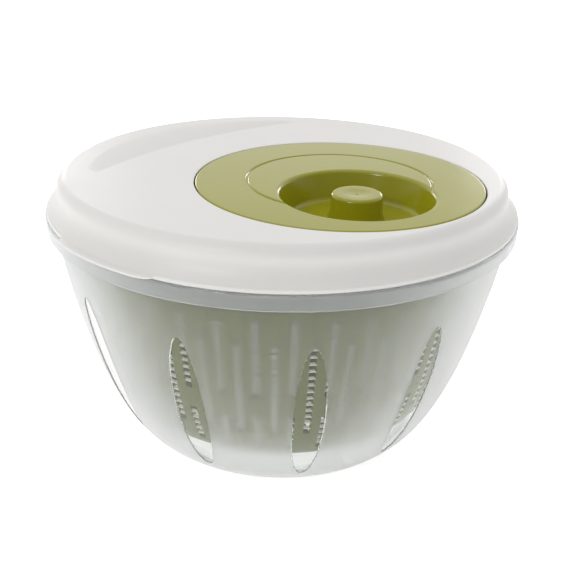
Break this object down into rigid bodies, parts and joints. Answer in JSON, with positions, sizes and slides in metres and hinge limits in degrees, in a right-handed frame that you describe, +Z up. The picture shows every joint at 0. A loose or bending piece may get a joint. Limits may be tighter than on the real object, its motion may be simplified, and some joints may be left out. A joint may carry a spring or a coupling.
{
  "type": "salad spinner",
  "caption": "Salad spinner: a frosted bowl with a slotted basket inside, and a lid whose off-centre crank dial drives the basket through a ring gear and pinion.",
  "frame": {"origin": "centre of the bowl's foot, on the surface it stands on; the bowl's axis is Z", "axes": "+Z up along the bowl's and the basket's axis; the crank dial's axis lies towards +X and -Y of it, and the finger recess opposite"},
  "size_m": [0.25, 0.25, 0.1484],
  "materials": {
    "bowl_frosted": "translucent moulded plastic, frosted, with clear glossy leaf-shaped windows",
    "basket_green": "satin moulded plastic, olive green",
    "lid_white": "satin moulded plastic, warm white",
    "inner_white": "satin moulded plastic, white",
    "dial_green": "satin moulded plastic, olive green",
    "gear_natural": "moulded acetal, natural",
    "screw_steel": "stainless steel"
  },
  "bodies": {
    "bowl": {"outer_bowl": "bowl_frosted"},
    "basket": {"basket": "basket_green"},
    "lid": {"lid_shell": "lid_white", "gear_housing": "inner_white", "housing_screw_1": "screw_steel", "housing_screw_2": "screw_steel", "housing_screw_3": "screw_steel", "housing_screw_4": "screw_steel", "pinion_bushing": "gear_natural"},
    "dial": {"crank_dial": "dial_green", "ring_gear": "gear_natural", "ring_screw_1": "screw_steel", "ring_screw_2": "screw_steel", "ring_screw_3": "screw_steel", "dial_washer": "screw_steel", "dial_screw": "screw_steel"},
    "knob": {"crank_knob": "dial_green", "knob_screw": "screw_steel", "knob_washer": "screw_steel"},
    "driver": {"drive_pinion": "gear_natural", "drive_plate": "inner_white", "drive_washer": "screw_steel", "drive_screw": "screw_steel"}
  },
  "joints": [
    {"name": "lid_lift", "type": "slide", "parent": "bowl", "child": "lid", "axis": [0, 0, 1], "range_m": [0, 0.15]},
    {"name": "dial_turn", "type": "hinge", "parent": "lid", "child": "dial", "pos_m": [0.02849, -0.02574, 0.1311], "axis": [0, 0, 1], "continuous": true},
    {"name": "knob_turn", "type": "hinge", "parent": "dial", "child": "knob", "pos_m": [0.0359, -0.04678, 0.14], "axis": [0, 0, 1], "continuous": true},
    {"name": "driver_turn", "type": "hinge", "parent": "lid", "child": "driver", "pos_m": [0, 0, 0.12], "axis": [0, 0, 1], "continuous": true},
    {"name": "basket_turn", "type": "hinge", "parent": "bowl", "child": "basket", "pos_m": [0, 0, 0.0303], "axis": [0, 0, 1], "continuous": true}
  ],
  "couplings": [
    {"joint": "driver_turn", "follows": "dial_turn", "ratio": 3},
    {"joint": "basket_turn", "follows": "dial_turn", "ratio": 3}
  ]
}
